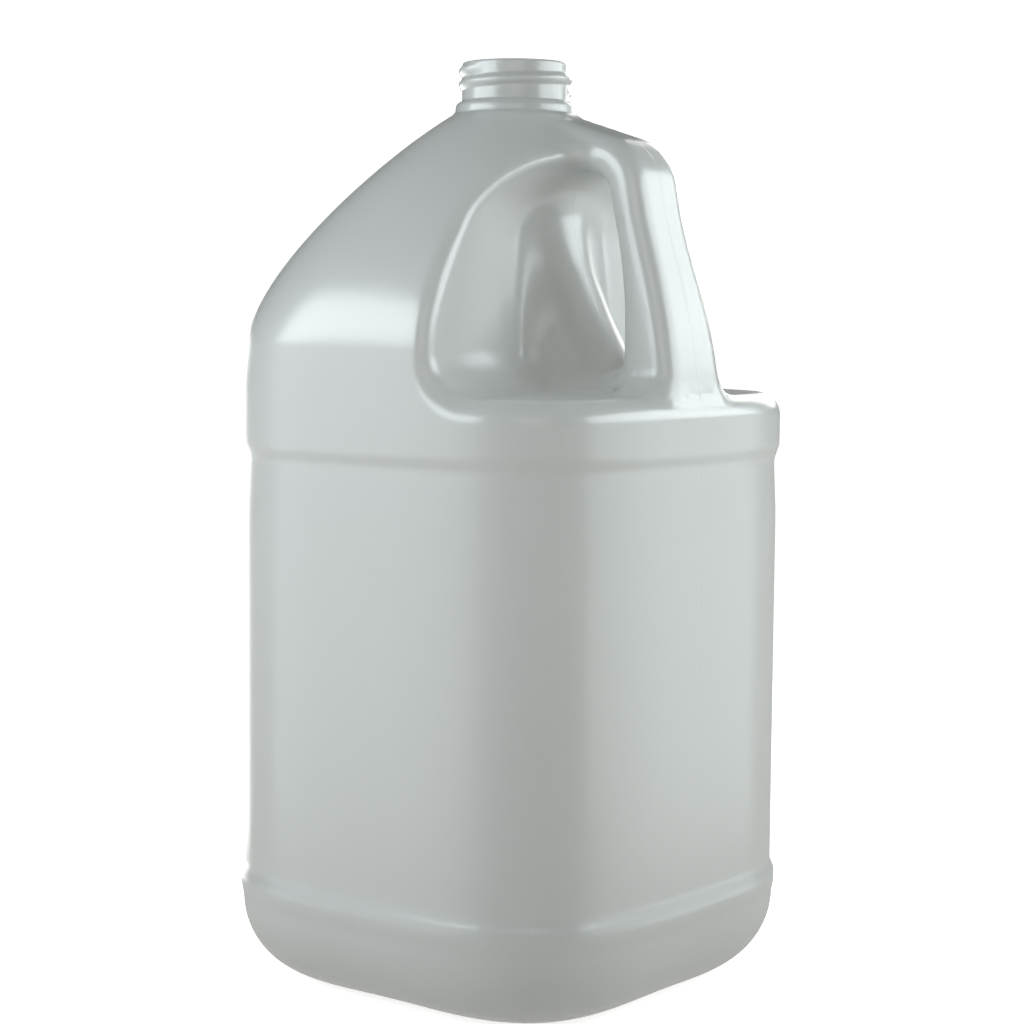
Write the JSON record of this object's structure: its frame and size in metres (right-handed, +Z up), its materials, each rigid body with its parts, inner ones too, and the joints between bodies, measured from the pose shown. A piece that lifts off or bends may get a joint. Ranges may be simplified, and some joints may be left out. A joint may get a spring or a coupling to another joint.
{
  "type": "plastic gallon jug",
  "caption": "Blow-moulded square gallon jug with a domed shoulder, a hollow grip handle set into a pocket at one side, and an open 38 mm neck.",
  "frame": {"origin": "centre of the base, on the surface that the jug stands on", "axes": "+Z up through the neck, +X towards the side with the handle"},
  "size_m": [0.1536, 0.1536, 0.3],
  "materials": {
    "natural_plastic": "translucent natural plastic, satin"
  },
  "bodies": {
    "root": {"jug": "natural_plastic"}
  },
  "joints": []
}
